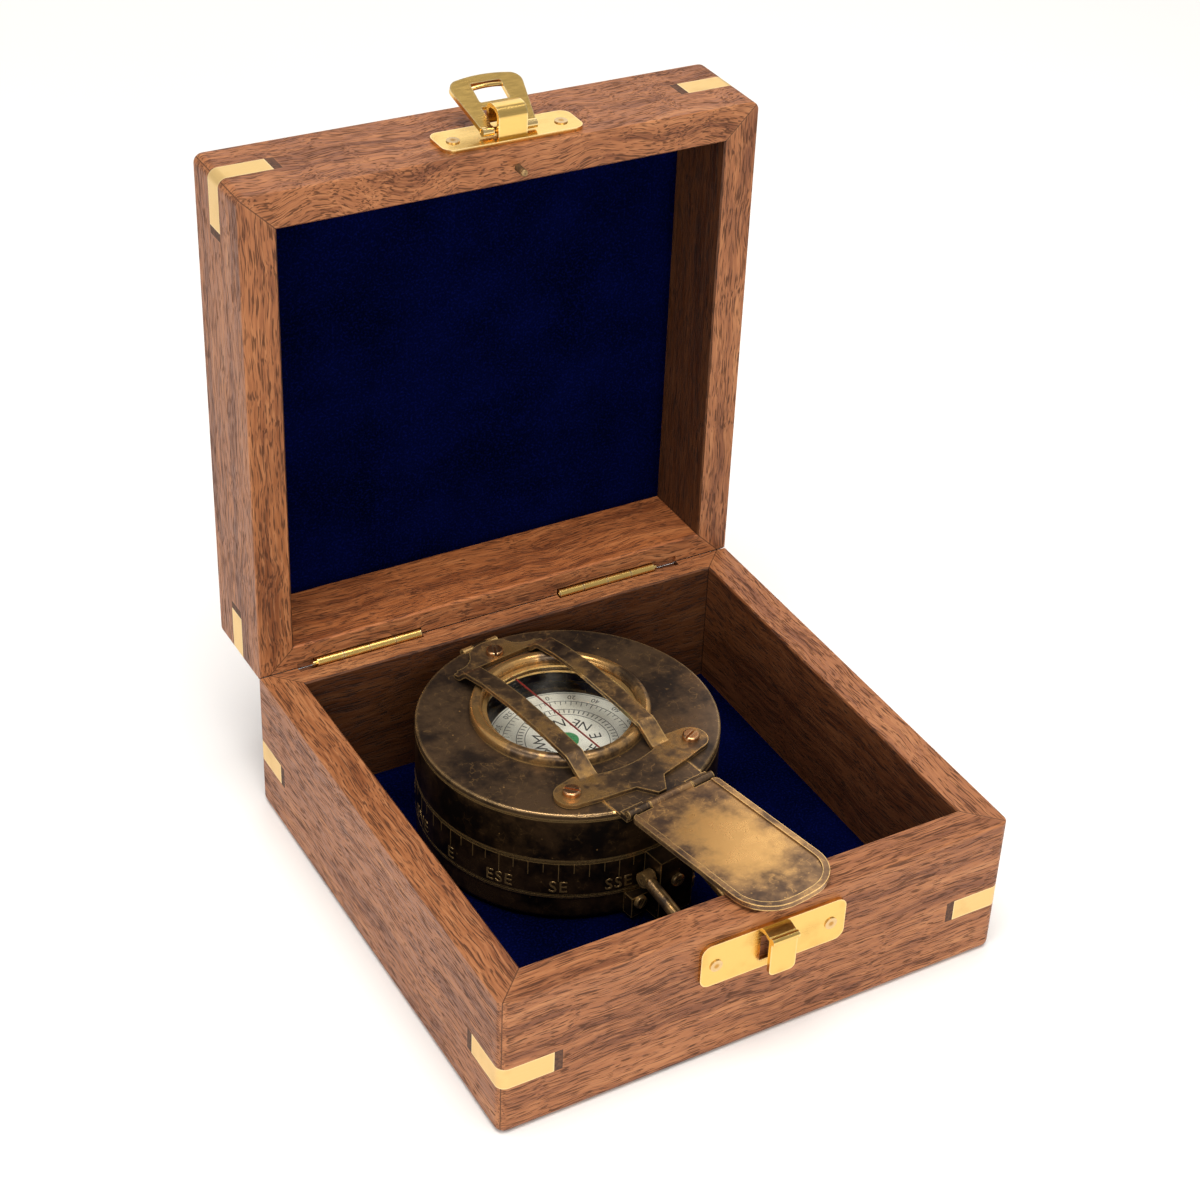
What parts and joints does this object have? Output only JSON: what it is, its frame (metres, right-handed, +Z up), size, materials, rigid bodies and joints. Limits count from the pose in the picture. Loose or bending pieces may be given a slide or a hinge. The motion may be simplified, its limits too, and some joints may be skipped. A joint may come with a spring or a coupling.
{
  "type": "compass box",
  "caption": "Hinged hardwood case with brass latch, lined in velvet, holding a round flap compass with a windowed cover and turning numeral ring.",
  "frame": {"origin": "centre of the base's underside", "axes": "+Z up, +X to the right of someone facing the latch, -Y towards them; the lid is stored open at the back"},
  "size_m": [0.115, 0.1382, 0.1529],
  "materials": {
    "oiled_rosewood": "oiled, open grain",
    "blue_velvet": "short pile velvet",
    "polished_brass": "lightly worn polish",
    "dark_filler": "matt",
    "antique_brass": "darkened and rubbed bright on the edges",
    "screw_brass": "coppery, worn",
    "clear_glass": "clear",
    "card_paper": "matt",
    "green_label": "gloss",
    "red_line": "satin",
    "magnet_steel": "satin"
  },
  "bodies": {
    "base": {"base_front_wall": "oiled_rosewood", "base_back_wall": "oiled_rosewood", "base_left_wall": "oiled_rosewood", "base_right_wall": "oiled_rosewood", "base_floor_panel": "oiled_rosewood", "base_velvet": "blue_velvet", "base_corner_keys": "polished_brass", "base_key_fillers": "dark_filler", "left_hinge_base_leaf": "polished_brass", "right_hinge_base_leaf": "polished_brass", "left_hinge_pin": "polished_brass", "right_hinge_pin": "polished_brass", "base_latch_plate": "polished_brass", "base_latch_nails": "polished_brass"},
    "case_lid": {"lid_front_wall": "oiled_rosewood", "lid_back_wall": "oiled_rosewood", "lid_left_wall": "oiled_rosewood", "lid_right_wall": "oiled_rosewood", "lid_top_panel": "oiled_rosewood", "lid_velvet": "blue_velvet", "lid_corner_keys": "polished_brass", "lid_key_fillers": "dark_filler", "left_hinge_lid_leaf": "polished_brass", "right_hinge_lid_leaf": "polished_brass", "lid_latch_plate": "polished_brass", "lid_latch_nails": "polished_brass", "locating_pin": "antique_brass"},
    "hasp": {"hasp_plate": "polished_brass", "hasp_pivot_bar": "polished_brass", "hasp_spring_bar": "polished_brass"},
    "compass_case": {"compass_bowl": "antique_brass", "compass_upper_case": "antique_brass", "card_glass": "clear_glass", "card_glass_ring": "antique_brass", "pivot_post": "antique_brass", "cover_hinge_case_leaf": "antique_brass", "cover_hinge_pin": "antique_brass", "ring_bracket": "antique_brass", "ring_bracket_screws": "screw_brass", "ring_pivot_rod": "antique_brass"},
    "numeral_ring": {"numeral_ring": "antique_brass"},
    "card": {"compass_card": "card_paper", "card_hub": "green_label", "card_magnet": "magnet_steel"},
    "compass_cover": {"cover_disc": "antique_brass", "window_bezel": "antique_brass", "window_glass": "clear_glass", "window_glass_ring": "antique_brass", "hairline": "red_line", "strap_guard": "antique_brass", "guard_screws": "screw_brass", "flap_hinge_leaf": "antique_brass", "flap_hinge_pin": "antique_brass"},
    "flap": {"flap": "antique_brass"},
    "thumb_ring": {"thumb_ring": "antique_brass"}
  },
  "joints": [
    {"name": "case_lid_hinge", "type": "hinge", "parent": "base", "child": "case_lid", "pos_m": [0, 0.0543, 0.03365], "axis": [-1, 0, 0], "range_deg": [-90, 0]},
    {"name": "hasp_hinge", "type": "hinge", "parent": "case_lid", "child": "hasp", "pos_m": [0.0016, 0.0588, 0.1466], "axis": [1, 0, 0], "range_deg": [0, 142]},
    {"name": "compass_lift", "type": "slide", "parent": "base", "child": "compass_case", "axis": [0, 0, 1], "range_m": [0, 0.045]},
    {"name": "numeral_ring_turn", "type": "hinge", "parent": "compass_case", "child": "numeral_ring", "pos_m": [-0.0049, 0.0151, 0.0149], "axis": [0, 0, 1], "continuous": true},
    {"name": "card_turn", "type": "hinge", "parent": "compass_case", "child": "card", "pos_m": [-0.0049, 0.0151, 0.0239], "axis": [0, 0, 1], "continuous": true},
    {"name": "cover_hinge", "type": "hinge", "parent": "compass_case", "child": "compass_cover", "pos_m": [-0.00989, 0.04661, 0.0317], "axis": [-0.9877, -0.1564, 0], "range_deg": [0, 75]},
    {"name": "flap_fold", "type": "hinge", "parent": "compass_cover", "child": "flap", "pos_m": [0.00036, -0.01809, 0.0335], "axis": [-0.9877, -0.1564, 0], "range_deg": [0, 157.5]},
    {"name": "thumb_ring_hinge", "type": "hinge", "parent": "compass_case", "child": "thumb_ring", "pos_m": [0.00058, -0.01947, 0.0155], "axis": [-0.9877, -0.1564, 0], "range_deg": [-23, 75]}
  ],
  "couplings": [
    {"joint": "flap_fold", "follows": "case_lid_hinge", "ratio": -1.75}
  ]
}
